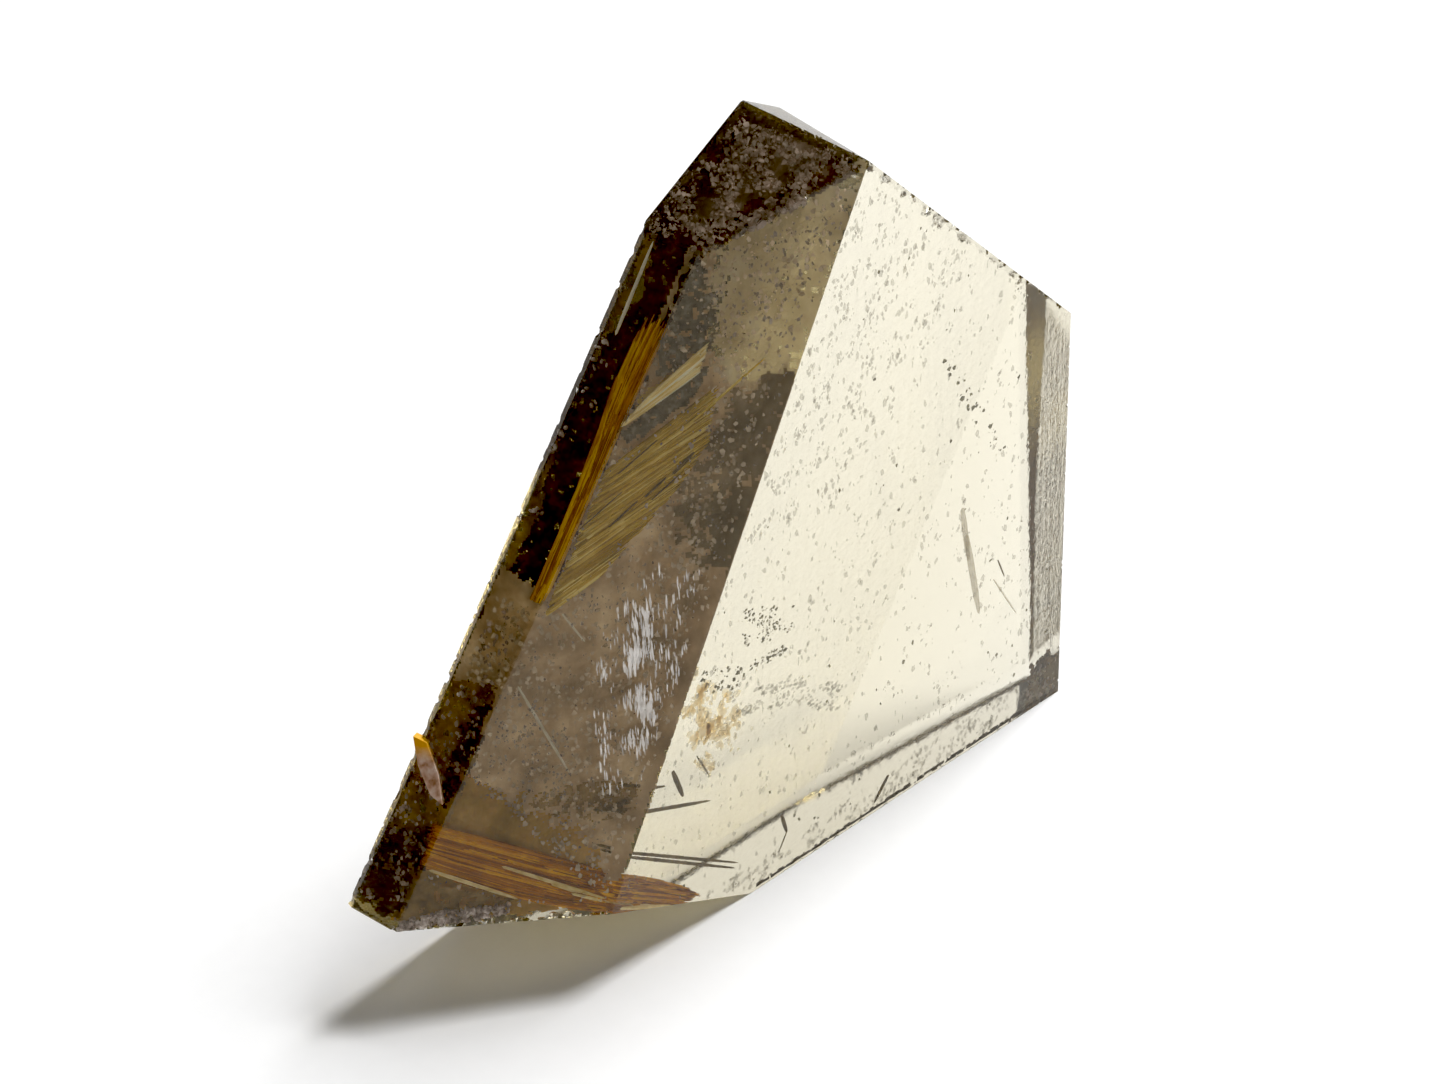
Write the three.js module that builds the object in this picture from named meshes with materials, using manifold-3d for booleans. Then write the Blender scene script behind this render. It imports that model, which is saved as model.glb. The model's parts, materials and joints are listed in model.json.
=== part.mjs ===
// A flattened smoky quartz crystal with golden rutile in it, standing on its narrow base face.
// Millimetres, +Z up. X runs along the broad front face, which looks along -Y.
// The origin is the middle of the crystal's bounding box, on the surface it stands on.
import * as THREE from "three";
import { mergeVertices } from "three/addons/utils/BufferGeometryUtils.js";
import Module from "manifold-3d";

const wasm = await Module();
wasm.setup();

// The heart is the point that every face is measured from.
const HEART = new THREE.Vector3(0, 0, 20);
const ROUGH_BLOCK = 80;

// Each flat face: the turn of its outward normal about Z from +X and its rise above level,
// both in degrees, and its reach from the heart in millimetres.
const FACES = {
  front: { turn: -90, rise: 0, reach: 4.32 },
  leftFront: { turn: -119.94, rise: 12.47, reach: 5.76 },
  leftEdge: { turn: -147.76, rise: 23.51, reach: 9.42 },
  leftBevel: { turn: 157.2, rise: 28.05, reach: 12.04 },
  topLeft: { turn: -141.44, rise: 46.97, reach: 15.04 },
  topCrest: { turn: 0, rise: 57.5, reach: 21.51 },
  topRight: { turn: 0, rise: 42.38, reach: 18.875 },
  rightSide: { turn: 0, rise: 2.4, reach: 20.27 },
  rightRear: { turn: 8, rise: 3, reach: 20.1 },
  rightBevel: { turn: 45, rise: 0.5, reach: 15.66 },
  back: { turn: 90.3, rise: 3.62, reach: 2.97 },
  lowerBack: { turn: 79.81, rise: -1.7, reach: 5.93 },
  base: { turn: 0, rise: -90, reach: 20 },
  baseBevel: { turn: 90.3, rise: -35, reach: 14.6 },
  lowerBevel: { turn: 79.11, rise: -51.73, reach: 18.5 },
  underside: { turn: -126.85, rise: -48.92, reach: 17.99 },
  lowerTip: { turn: 180, rise: -50.75, reach: 23.73 },
};

// The room that quartz leaves round a piece of another mineral in it.
const CLEARANCE = 0.3;

// Rutile sheaves and the flake lie just under a face. Their outlines are millimetres from the face's
// own centre, the point nearest the heart: across it, and up its slope.
const STEEP_SHEAF = {
  face: "leftEdge",
  depth: 1.2,
  outline: [[-2.6, 13.1], [-1.4, 13.3], [-2.4, 9.1], [-3.5, 6.4], [-4.3, 4.2], [-5.2, 1.2], [-6.2, -1.6],
    [-6.6, -1.5], [-5.4, 2.3], [-4.2, 7.2], [-3.5, 10.3]],
};
const FAN = {
  face: "leftFront",
  depth: 1.2,
  outline: [[-9.7, 0.4], [-6.4, 7.2], [-1.9, 12.8], [-0.7, 13.5], [1.7, 12], [-0.6, 8.1], [-4.2, 5], [-8.7, 0.6]],
};
const LOW_SHEAF = {
  start: new THREE.Vector3(-17.8, 1.4, 10),
  end: new THREE.Vector3(-4.6, -3.8, 1.9),
  heights: [2.7, 2.6, 0.7],
  depth: 0.8,
};
const FLAKE = {
  face: "leftEdge",
  depth: 0.8,
  proud: 0.12,
  outline: [[-11.75, -9.2], [-11, -9.6], [-9.9, -12.5], [-10.4, -12.3]],
};

// Chipped edges: the two faces that meet there, the faces that end the edge, how many chips and their size.
const CHIPPED_EDGES = [
  { edge: ["front", "topRight"], ends: ["leftFront", "rightSide"], chips: 12, size: 0.75 },
  { edge: ["topLeft", "topCrest"], ends: ["leftFront", "back"], chips: 7, size: 0.6 },
  { edge: ["leftEdge", "leftBevel"], ends: ["topLeft", "lowerTip"], chips: 13, size: 0.6 },
  { edge: ["leftFront", "underside"], ends: ["leftEdge", "front"], chips: 12, size: 0.7 },
  { edge: ["front", "base"], ends: ["underside", "rightSide"], chips: 5, size: 0.45 },
  { edge: ["front", "rightSide"], ends: ["topRight", "base"], chips: 4, size: 0.45 },
  { edge: ["leftBevel", "back"], ends: ["topLeft", "underside"], chips: 9, size: 0.6 },
  { edge: ["back", "topRight"], ends: ["topCrest", "lowerBack"], chips: 8, size: 0.6 },
];
const CHIP_BITE = 0.3;
const CHIP_STRETCH = [1.5, 1.0, 0.8];

// Repeatable random numbers from 0 to 1.
function seededRandom(seed) {
  let state = seed;
  return () => {
    state = (state + 0x6d2b79f5) | 0;
    let t = Math.imul(state ^ (state >>> 15), 1 | state);
    t = (t + Math.imul(t ^ (t >>> 7), 61 | t)) ^ t;
    return ((t ^ (t >>> 14)) >>> 0) / 4294967296;
  };
}

function normalOf(name) {
  const { turn, rise } = FACES[name];
  const a = THREE.MathUtils.degToRad(turn);
  const b = THREE.MathUtils.degToRad(rise);
  return new THREE.Vector3(Math.cos(a) * Math.cos(b), Math.sin(a) * Math.cos(b), Math.sin(b));
}

function centreOf(name) {
  return HEART.clone().addScaledVector(normalOf(name), FACES[name].reach);
}

// The point where three faces meet.
function cornerOf(...names) {
  const normals = names.map(normalOf);
  const rows = new THREE.Matrix3().set(...normals.flatMap((n) => n.toArray()));
  const reaches = new THREE.Vector3(...names.map((name) => FACES[name].reach));
  return reaches.applyMatrix3(rows.invert()).add(HEART);
}

function solidOf(geometry) {
  const bare = geometry.clone();
  bare.deleteAttribute("normal");
  bare.deleteAttribute("uv");
  const merged = mergeVertices(bare, 1e-4);
  const vertProperties = merged.attributes.position.array;
  const triVerts = new Uint32Array(merged.index.array);
  return new wasm.Manifold(new wasm.Mesh({ numProp: 3, vertProperties, triVerts }));
}

function geometryOf(solid) {
  const mesh = solid.getMesh();
  const geometry = new THREE.BufferGeometry();
  geometry.setAttribute("position", new THREE.BufferAttribute(mesh.vertProperties, 3));
  geometry.setIndex(new THREE.BufferAttribute(mesh.triVerts, 1));
  return geometry;
}

// A frame on a plane: across it level, up its slope, and out along its normal.
function frameOn(point, outward) {
  const across = new THREE.Vector3(0, 0, 1).cross(outward).normalize();
  const up = outward.clone().cross(across);
  return new THREE.Matrix4().makeBasis(across, up, outward).setPosition(point);
}

// A box that takes away all that lies outside one face.
function wasteBeyond(name) {
  const normal = normalOf(name);
  const box = new THREE.BoxGeometry(2 * ROUGH_BLOCK, 2 * ROUGH_BLOCK, ROUGH_BLOCK);
  box.applyMatrix4(new THREE.Matrix4().makeTranslation(0, 0, ROUGH_BLOCK / 2));
  const level = Math.abs(normal.z) > 0.999;
  const frame = level
    ? new THREE.Matrix4().makeRotationX(normal.z > 0 ? 0 : Math.PI).setPosition(centreOf(name))
    : frameOn(centreOf(name), normal);
  return solidOf(box.applyMatrix4(frame));
}

function wholeCrystal() {
  const block = new THREE.BoxGeometry(ROUGH_BLOCK, ROUGH_BLOCK, ROUGH_BLOCK);
  block.translate(HEART.x, HEART.y, HEART.z);
  const start = solidOf(block);
  return Object.keys(FACES).reduce((solid, name) => solid.subtract(wasteBeyond(name)), start);
}

// One chip: a small twenty-sided lump that overlaps the edge by its bite.
function chipAt(point, outward, size, random) {
  const lump = new THREE.IcosahedronGeometry(1, 0);
  const stretch = CHIP_STRETCH.map((s) => s * size * (0.6 + 0.8 * random()));
  lump.scale(...stretch);
  const turn = new THREE.Euler(random() * Math.PI, random() * Math.PI, random() * Math.PI);
  lump.applyMatrix4(new THREE.Matrix4().makeRotationFromEuler(turn));
  const bite = CHIP_BITE * size * (0.5 + random());
  const centre = point.clone().addScaledVector(outward, Math.min(...stretch) - bite);
  lump.translate(centre.x, centre.y, centre.z);
  return solidOf(lump);
}

function chipsOf({ edge, ends, chips, size }, random) {
  const from = cornerOf(...edge, ends[0]);
  const to = cornerOf(...edge, ends[1]);
  const outward = normalOf(edge[0]).add(normalOf(edge[1])).normalize();
  const spaced = Array.from({ length: chips }, (_, i) => (i + 0.15 + 0.7 * random()) / chips);
  return spaced.map((share) => chipAt(from.clone().lerp(to, share), outward, size, random));
}

// The outline moved outwards by a margin, each side parallel to itself.
function grown(outline, margin) {
  const points = outline.map(([x, y]) => new THREE.Vector2(x, y));
  if (THREE.ShapeUtils.isClockWise(points)) points.reverse();
  const count = points.length;
  return points.map((point, i) => {
    const before = point.clone().sub(points[(i + count - 1) % count]).normalize();
    const after = points[(i + 1) % count].clone().sub(point).normalize();
    const out = new THREE.Vector2(before.y + after.y, -before.x - after.x).normalize();
    const spread = Math.max(out.dot(new THREE.Vector2(before.y, -before.x)), 0.5);
    return point.clone().addScaledVector(out, margin / spread);
  });
}

// A prism whose outline lies on a frame, from a depth below it to a height above it.
function prismOn(frame, outline, margin, below, above) {
  const shape = new THREE.Shape(grown(outline, margin));
  const prism = new THREE.ExtrudeGeometry(shape, { depth: below + above, bevelEnabled: false });
  prism.translate(0, 0, -below);
  return solidOf(prism.applyMatrix4(frame));
}

// The solid of an inclusion, level with the crystal's surface or proud of it, and the pocket that holds it.
function inclusion(crystal, frame, { outline, depth, proud = 0 }, reachOut) {
  const pocket = prismOn(frame, outline, CLEARANCE, depth + CLEARANCE, reachOut);
  const prism = prismOn(frame, outline, 0, depth, proud || reachOut);
  return { pocket, solid: proud ? prism : prism.intersect(crystal) };
}

function onFace(crystal, sheaf) {
  const outward = normalOf(sheaf.face);
  return inclusion(crystal, frameOn(centreOf(sheaf.face), outward), sheaf, 1);
}

// The low sheaf runs under the ridge between two faces, so it has a plane of its own.
function lowSheaf(crystal) {
  const { start, end, heights, depth } = LOW_SHEAF;
  const along = end.clone().sub(start);
  const length = along.length();
  along.normalize();
  const outward = normalOf("leftFront").add(normalOf("front")).normalize();
  outward.addScaledVector(along, -outward.dot(along)).normalize();
  const up = outward.clone().cross(along);
  const frame = new THREE.Matrix4().makeBasis(along, up, outward).setPosition(start);
  const places = heights.map((_, i) => (length * i) / (heights.length - 1));
  const lower = heights.map((height, i) => [places[i], -height / 2]);
  const upper = heights.map((height, i) => [places[i], height / 2]);
  const outline = [...lower, ...upper.reverse()];
  return inclusion(crystal, frame, { outline, depth }, 3);
}

const QUARTZ = { color: 0x9c8f7c, roughness: 0.12, metalness: 0 };
const RUTILE = { color: 0xa8741c, roughness: 0.35, metalness: 0.3 };
const PINK_FLAKE = { color: 0xc79a86, roughness: 0.7, metalness: 0 };

function addMesh(group, name, solid, look) {
  const mesh = new THREE.Mesh(geometryOf(solid), new THREE.MeshStandardMaterial(look));
  mesh.name = name;
  group.add(mesh);
}

function buildGroup() {
  const random = seededRandom(11);
  const crystal = wholeCrystal();
  const steep = onFace(crystal, STEEP_SHEAF);
  const fan = onFace(crystal, FAN);
  fan.solid = fan.solid.subtract(steep.pocket);
  const low = lowSheaf(crystal);
  const flake = onFace(crystal, FLAKE);
  const pockets = [steep, fan, low, flake].map((piece) => piece.pocket);
  const chips = CHIPPED_EDGES.flatMap((edge) => chipsOf(edge, random));
  const quartz = [...pockets, ...chips].reduce((solid, cut) => solid.subtract(cut), crystal);
  const group = new THREE.Group();
  addMesh(group, "quartz_crystal", quartz, QUARTZ);
  addMesh(group, "rutile_steep_sheaf", steep.solid, RUTILE);
  addMesh(group, "rutile_fan", fan.solid, RUTILE);
  addMesh(group, "rutile_low_sheaf", low.solid, RUTILE);
  addMesh(group, "pink_flake", flake.solid, PINK_FLAKE);
  return group;
}

export default buildGroup();
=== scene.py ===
"""The looks of a flattened smoky quartz crystal with golden rutile in it. Metres, +Z up, as in its solids."""

import json
import math
import random
from itertools import combinations

import bmesh
import bpy
from mathutils import Euler, Matrix, Vector, noise

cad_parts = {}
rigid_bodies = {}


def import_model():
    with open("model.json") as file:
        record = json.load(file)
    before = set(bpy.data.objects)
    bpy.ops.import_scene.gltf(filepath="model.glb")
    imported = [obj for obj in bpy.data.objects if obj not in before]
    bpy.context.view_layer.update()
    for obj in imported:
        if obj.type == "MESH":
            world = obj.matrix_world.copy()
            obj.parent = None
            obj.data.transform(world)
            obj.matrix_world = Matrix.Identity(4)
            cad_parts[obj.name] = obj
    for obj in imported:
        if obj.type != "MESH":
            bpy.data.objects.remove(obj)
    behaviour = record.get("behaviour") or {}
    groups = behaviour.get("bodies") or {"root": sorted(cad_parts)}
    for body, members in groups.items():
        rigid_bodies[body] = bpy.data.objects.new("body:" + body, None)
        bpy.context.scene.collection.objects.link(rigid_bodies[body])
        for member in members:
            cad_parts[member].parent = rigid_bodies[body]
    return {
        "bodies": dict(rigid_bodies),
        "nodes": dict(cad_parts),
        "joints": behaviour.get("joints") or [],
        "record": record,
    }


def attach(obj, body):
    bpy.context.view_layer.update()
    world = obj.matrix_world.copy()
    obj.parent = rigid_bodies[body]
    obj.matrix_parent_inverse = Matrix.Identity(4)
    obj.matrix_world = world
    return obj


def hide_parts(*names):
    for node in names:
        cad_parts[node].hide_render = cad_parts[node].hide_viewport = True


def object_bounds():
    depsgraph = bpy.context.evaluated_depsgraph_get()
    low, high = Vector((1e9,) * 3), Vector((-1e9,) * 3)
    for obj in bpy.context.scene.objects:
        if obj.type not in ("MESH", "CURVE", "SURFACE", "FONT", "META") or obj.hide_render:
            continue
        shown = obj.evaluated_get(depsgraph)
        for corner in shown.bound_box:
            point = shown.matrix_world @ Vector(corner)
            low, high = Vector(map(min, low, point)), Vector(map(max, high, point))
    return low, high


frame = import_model()
solid_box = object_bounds()
UP = Vector((0, 0, 1))
TOP = solid_box[1][2] - 1e-6

# The camera looks down at the standing crystal from its front left.
EYE = Vector((-0.10163, -0.1106, 0.14592))
VIEW = Vector((0.5194, 0.5631, -0.6428)).normalized()
LENS = 100
SENSOR = 36

# The heart is the point that every face is measured from.
HEART = Vector((0, 0, 0.020))

# Each flat face: the turn of its outward normal about Z from +X and its rise above level, both in
# degrees, and its reach from the heart.
FACES = {
    "front": (-90, 0, 4.32e-3),
    "leftFront": (-119.94, 12.47, 5.76e-3),
    "leftEdge": (-147.76, 23.51, 9.42e-3),
    "leftBevel": (157.2, 28.05, 12.04e-3),
    "topLeft": (-141.44, 46.97, 15.04e-3),
    "topCrest": (0, 57.5, 21.51e-3),
    "topRight": (0, 42.38, 18.875e-3),
    "rightSide": (0, 2.4, 20.27e-3),
    "rightRear": (8, 3, 20.1e-3),
    "rightBevel": (45, 0.5, 15.66e-3),
    "back": (90.3, 3.62, 2.97e-3),
    "lowerBack": (79.81, -1.7, 5.93e-3),
    "base": (0, -90, 20e-3),
    "baseBevel": (90.3, -35, 14.6e-3),
    "lowerBevel": (79.11, -51.73, 18.5e-3),
    "underside": (-126.85, -48.92, 17.99e-3),
    "lowerTip": (180, -50.75, 23.73e-3),
}

# Chipped edges: the two faces that meet there, the faces that end the edge, how many chips, their size.
CHIPPED_EDGES = [
    (("front", "topRight"), ("leftFront", "rightSide"), 34, 0.2e-3),
    (("topLeft", "topCrest"), ("leftFront", "back"), 20, 0.2e-3),
    (("leftEdge", "leftBevel"), ("topLeft", "lowerTip"), 26, 0.2e-3),
    (("leftFront", "underside"), ("leftEdge", "front"), 50, 0.3e-3),
    (("front", "base"), ("underside", "rightSide"), 26, 0.16e-3),
    (("front", "rightSide"), ("topRight", "base"), 20, 0.14e-3),
    (("leftBevel", "back"), ("topLeft", "underside"), 30, 0.3e-3),
    (("back", "topRight"), ("topCrest", "lowerBack"), 26, 0.3e-3),
    (("leftFront", "topLeft"), ("leftEdge", "topRight"), 30, 0.24e-3),
    (("lowerBack", "lowerBevel"), ("baseBevel", "rightBevel"), 24, 0.2e-3),
]
CHIP_BITE = 0.3
CHIP_STRETCH = (1.5, 1.0, 0.8)

# How frosted each face is, as the roughness of its surface. Chips are as frosted as CHIP_HAZE.
HAZE = {
    "front": 0.02, "leftFront": 0.11, "leftEdge": 0.1, "leftBevel": 0.15, "topLeft": 0.14, "topCrest": 0.1,
    "topRight": 0.1, "rightSide": 0.06, "rightRear": 0.12, "rightBevel": 0.12, "back": 0.1, "lowerBack": 0.03,
    "base": 0.06, "baseBevel": 0.1, "lowerBevel": 0.1, "underside": 0.15, "lowerTip": 0.2,
}
CHIP_HAZE = 0.12

# Clear smoky quartz: its light bending, and what it takes out of red, green and blue in a metre.
QUARTZ_IOR = 1.544
SMOKE_DENSITY = 80
SMOKE_COLOR = (0.725, 0.66, 0.41, 1)
SURFACE_TINT = (1.0, 0.99, 0.96, 1)


def face_normal(name):
    turn, rise, _ = FACES[name]
    a, b = math.radians(turn), math.radians(rise)
    return Vector((math.cos(a) * math.cos(b), math.sin(a) * math.cos(b), math.sin(b)))


NORMALS = {name: face_normal(name) for name in FACES}
SKIN = 0.02e-3


def is_buried(points, skin=SKIN):
    """Whether all the points lie inside the crystal, each at least a thin skin under every face."""
    return all(NORMALS[name].dot(p - HEART) < FACES[name][2] - skin for p in points for name in FACES)


def frame_on(point, outward):
    """A frame on a plane: across it level, up its slope, and out along its normal."""
    across = UP.cross(outward).normalized()
    frame = Matrix((across, outward.cross(across), outward)).transposed().to_4x4()
    frame.translation = point
    return frame


def face_frame(name):
    return frame_on(HEART + face_normal(name) * FACES[name][2], face_normal(name))


def under_face(name, across, up, depth):
    """A point under a face, measured from the face's own centre, the point nearest the heart."""
    return face_frame(name) @ Vector((across, up, -depth))


def corner_of(names):
    """The point where three faces meet, or None where they have no single point."""
    rows = Matrix([face_normal(name) for name in names])
    if abs(rows.determinant()) < 1e-4:
        return None
    return HEART + rows.inverted() @ Vector([FACES[name][2] for name in names])


def make_camera():
    data = bpy.data.cameras.new("camera")
    data.lens, data.sensor_width, data.clip_start = LENS, SENSOR, 0.001
    camera = bpy.data.objects.new("camera", data)
    bpy.context.collection.objects.link(camera)
    right = VIEW.cross(UP).normalized()
    camera.matrix_world = Matrix((right, right.cross(VIEW), -VIEW)).transposed().to_4x4()
    camera.location = EYE
    bpy.context.scene.camera = camera


def new_material(name):
    material = bpy.data.materials.new(name)
    material.use_nodes = True
    tree = material.node_tree
    tree.nodes.clear()
    shader = tree.nodes.new("ShaderNodeBsdfPrincipled")
    output = tree.nodes.new("ShaderNodeOutputMaterial")
    tree.links.new(shader.outputs["BSDF"], output.inputs["Surface"])
    return material, tree, shader, output


def add_noise(tree, scale, detail=4, stretch=(1, 1, 1)):
    """Noise in the object's own coordinates, stretched along an axis where its share is below 1."""
    coordinates = tree.nodes.new("ShaderNodeTexCoord")
    mapping = tree.nodes.new("ShaderNodeMapping")
    mapping.inputs["Scale"].default_value = stretch
    texture = tree.nodes.new("ShaderNodeTexNoise")
    texture.inputs["Scale"].default_value = scale
    texture.inputs["Detail"].default_value = detail
    tree.links.new(coordinates.outputs["Object"], mapping.inputs["Vector"])
    tree.links.new(mapping.outputs["Vector"], texture.inputs["Vector"])
    return texture.outputs["Fac"]


def add_ramp(tree, factor, stops):
    ramp = tree.nodes.new("ShaderNodeValToRGB")
    elements = ramp.color_ramp.elements
    while len(elements) < len(stops):
        elements.new(0.5)
    for element, (place, color) in zip(elements, stops):
        element.position = place
        element.color = (*color, 1)
    tree.links.new(factor, ramp.inputs["Fac"])
    return ramp.outputs["Color"]


def add_bump(tree, height, distance, strength=1.0, under=None):
    bump = tree.nodes.new("ShaderNodeBump")
    bump.inputs["Distance"].default_value = distance
    bump.inputs["Strength"].default_value = strength
    tree.links.new(height, bump.inputs["Height"])
    if under:
        tree.links.new(under, bump.inputs["Normal"])
    return bump.outputs["Normal"]


def quartz_material():
    """Clear, pale brown, with faint upright growth lines and fine pits."""
    material, tree, shader, output = new_material("smoky quartz")
    shader.inputs["Transmission Weight"].default_value = 1
    shader.inputs["IOR"].default_value = QUARTZ_IOR
    shader.inputs["Base Color"].default_value = SURFACE_TINT
    haze = tree.nodes.new("ShaderNodeAttribute")
    haze.attribute_name = "haze"
    tree.links.new(haze.outputs["Fac"], shader.inputs["Roughness"])
    lines = add_bump(tree, add_noise(tree, 1800, 3, (1, 1, 0.15)), 1.0e-5)
    pits = add_bump(tree, add_noise(tree, 3600, 3), 1.0e-5, under=lines)
    tree.links.new(pits, shader.inputs["Normal"])
    absorption = tree.nodes.new("ShaderNodeVolumeAbsorption")
    absorption.inputs["Density"].default_value = SMOKE_DENSITY
    absorption.inputs["Color"].default_value = SMOKE_COLOR
    tree.links.new(absorption.outputs["Volume"], output.inputs["Volume"])
    return material


# What lies inside the quartz has next to no gloss of its own.
DULL = 0.15


def streaky_material(name, colors, roughness=0.35):
    """Each needle has its own shade, and is mottled along its length."""
    material, tree, shader, _ = new_material(name)
    geometry = tree.nodes.new("ShaderNodeNewGeometry")
    mottle = add_noise(tree, 900, 5)
    blend = tree.nodes.new("ShaderNodeMath")
    blend.operation = "MULTIPLY_ADD"
    blend.inputs[1].default_value = 0.6
    tree.links.new(geometry.outputs["Random Per Island"], blend.inputs[0])
    scaled = tree.nodes.new("ShaderNodeMath")
    scaled.operation = "MULTIPLY"
    scaled.inputs[1].default_value = 0.5
    tree.links.new(mottle, scaled.inputs[0])
    tree.links.new(scaled.outputs[0], blend.inputs[2])
    tree.links.new(add_ramp(tree, blend.outputs[0], colors), shader.inputs["Base Color"])
    shader.inputs["Roughness"].default_value = roughness
    shader.inputs["Specular IOR Level"].default_value = DULL
    tree.links.new(add_bump(tree, mottle, 2e-5), shader.inputs["Normal"])
    return material


def add_piece(name, shape, material, replaced=()):
    mesh = bpy.data.meshes.new(name)
    shape.to_mesh(mesh)
    shape.free()
    mesh.materials.append(material)
    piece = bpy.data.objects.new(name, mesh)
    bpy.context.collection.objects.link(piece)
    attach(piece, "root")
    if replaced:
        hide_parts(*replaced)
    return piece


def whole_crystal():
    """The convex body between all the faces, its tip worn down to the height of the solids."""
    shape = bmesh.new()
    for names in combinations(FACES, 3):
        corner = corner_of(names)
        if corner is None:
            continue
        if all(face_normal(n).dot(corner - HEART) < FACES[n][2] + 1e-7 for n in FACES):
            shape.verts.new(corner)
    bmesh.ops.remove_doubles(shape, verts=shape.verts, dist=1e-6)
    bmesh.ops.convex_hull(shape, input=shape.verts)
    bmesh.ops.dissolve_limit(shape, angle_limit=0.002, verts=shape.verts, edges=shape.edges)
    everything = shape.verts[:] + shape.edges[:] + shape.faces[:]
    cut = bmesh.ops.bisect_plane(
        shape, geom=everything, plane_co=(0, 0, TOP), plane_no=UP, clear_outer=True
    )["geom_cut"]
    bmesh.ops.holes_fill(shape, edges=[part for part in cut if isinstance(part, bmesh.types.BMEdge)])
    return shape


def add_lump(shape, centre, stretch, draw):
    turn = Euler([draw.random() * math.pi for _ in range(3)]).to_matrix().to_4x4()
    size = Matrix.Diagonal((*stretch, 1))
    bmesh.ops.create_icosphere(
        shape, subdivisions=1, radius=1, matrix=Matrix.Translation(centre) @ turn @ size
    )


def edge_chips(shape, faces, ends, count, size, draw):
    start = corner_of((*faces, ends[0]))
    end = corner_of((*faces, ends[1]))
    outward = (face_normal(faces[0]) + face_normal(faces[1])).normalized()
    for i in range(count):
        point = start.lerp(end, (i + draw.random()) / count)
        stretch = [s * size * (0.4 + 1.2 * draw.random()) for s in CHIP_STRETCH]
        bite = CHIP_BITE * size * (0.2 + 1.6 * draw.random() ** 2)
        add_lump(shape, point + outward * (min(stretch) - bite), stretch, draw)


def cut_away(piece, shape):
    """Cuts a shape out of a piece, and leaves the piece a plain mesh."""
    mesh = bpy.data.meshes.new("cut")
    shape.to_mesh(mesh)
    shape.free()
    cutter = bpy.data.objects.new("cut", mesh)
    bpy.context.collection.objects.link(cutter)
    cut = piece.modifiers.new("cut", "BOOLEAN")
    cut.operation, cut.solver, cut.object = "DIFFERENCE", "EXACT", cutter
    cut.use_self = True
    bpy.context.view_layer.update()
    graph = bpy.context.evaluated_depsgraph_get()
    result = bpy.data.meshes.new_from_object(piece.evaluated_get(graph))
    piece.modifiers.clear()
    piece.data = result
    bpy.data.objects.remove(cutter)


def store_haze(mesh):
    """Writes on each polygon how frosted the face is that it lies in."""
    haze = mesh.attributes.new("haze", "FLOAT", "FACE")
    for polygon in mesh.polygons:
        haze.data[polygon.index].value = CHIP_HAZE
        for name, (_, _, reach) in FACES.items():
            outward = face_normal(name)
            level = abs(outward.dot(polygon.center - HEART) - reach) < 2e-6
            if level and outward.dot(polygon.normal) > 0.9999:
                haze.data[polygon.index].value = HAZE[name]


def make_crystal():
    draw = random.Random(7)
    crystal = add_piece("quartz_crystal_clear", whole_crystal(), quartz_material(),
                        ["quartz_crystal"])
    chips = bmesh.new()
    for faces, ends, count, size in CHIPPED_EDGES:
        edge_chips(chips, faces, ends, count, size, draw)
    cut_away(crystal, chips)
    store_haze(crystal.data)
    return crystal


# A needle's girth along its length, as shares of its width, between its two points.
NEEDLE_PROFILE = ((0.03, 0.7), (0.3, 1.0), (0.75, 0.9), (0.96, 0.5))


def add_needle(shape, start, end, width, outward):
    """A thin four-sided prism with a point at each end, flattened along its outward side."""
    along = (end - start).normalized()
    side = outward.cross(along).normalized() * width / 2
    lift = along.cross(side) * 0.6
    rings = []
    for share, girth in NEEDLE_PROFILE:
        centre = start.lerp(end, share)
        offsets = (side, lift, -side, -lift)
        rings.append([shape.verts.new(centre + offset * girth) for offset in offsets])
    tips = (shape.verts.new(start), shape.verts.new(end))
    for lower, upper in zip(rings, rings[1:]):
        for i in range(4):
            shape.faces.new((lower[i], lower[i - 3], upper[i - 3], upper[i]))
    for i in range(4):
        shape.faces.new((tips[0], rings[0][i - 3], rings[0][i]))
        shape.faces.new((tips[1], rings[-1][i], rings[-1][i - 3]))


def along_line(points, share):
    """The point at a share of the way along a line of evenly weighted points."""
    place = min(share, 0.9999) * (len(points) - 1)
    return points[int(place)].lerp(points[int(place) + 1], place % 1)


def add_bundle(shape, starts, ends, outward, count, width, layer, draw, begin=0.35, stop=0.35):
    """Needles from one line of points to another. Some begin late or stop early, by up to those shares."""
    for _ in range(count):
        share = draw.random()
        sink = -outward * layer * draw.random()
        near, far = along_line(starts, share), along_line(ends, share)
        late, early = begin * draw.random() ** 2, stop * draw.random() ** 2
        start, end = near.lerp(far, late) + sink, far.lerp(near, early) + sink
        add_needle(shape, start, end, width * (0.5 + draw.random()), outward)


def add_band(shape, borders, outward, count, width, layer, draw, shortest=0.15, longest=0.45, thinning=1.0):
    """Needles side by side between two borders, each along a share of them. Thinning gathers them at the start."""
    for _ in range(count):
        share = draw.random()
        length = draw.uniform(shortest, longest)
        begin = -0.05 + (1.1 - length) * draw.random() ** thinning
        sink = -outward * layer * draw.random()
        start, end = (
            along_line(borders[0], place).lerp(along_line(borders[1], place), share) + sink
            for place in (max(begin, 0), min(begin + length, 1 - 0.12 * draw.random()))
        )
        add_needle(shape, start, end, width * (0.5 + draw.random()), outward)


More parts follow.
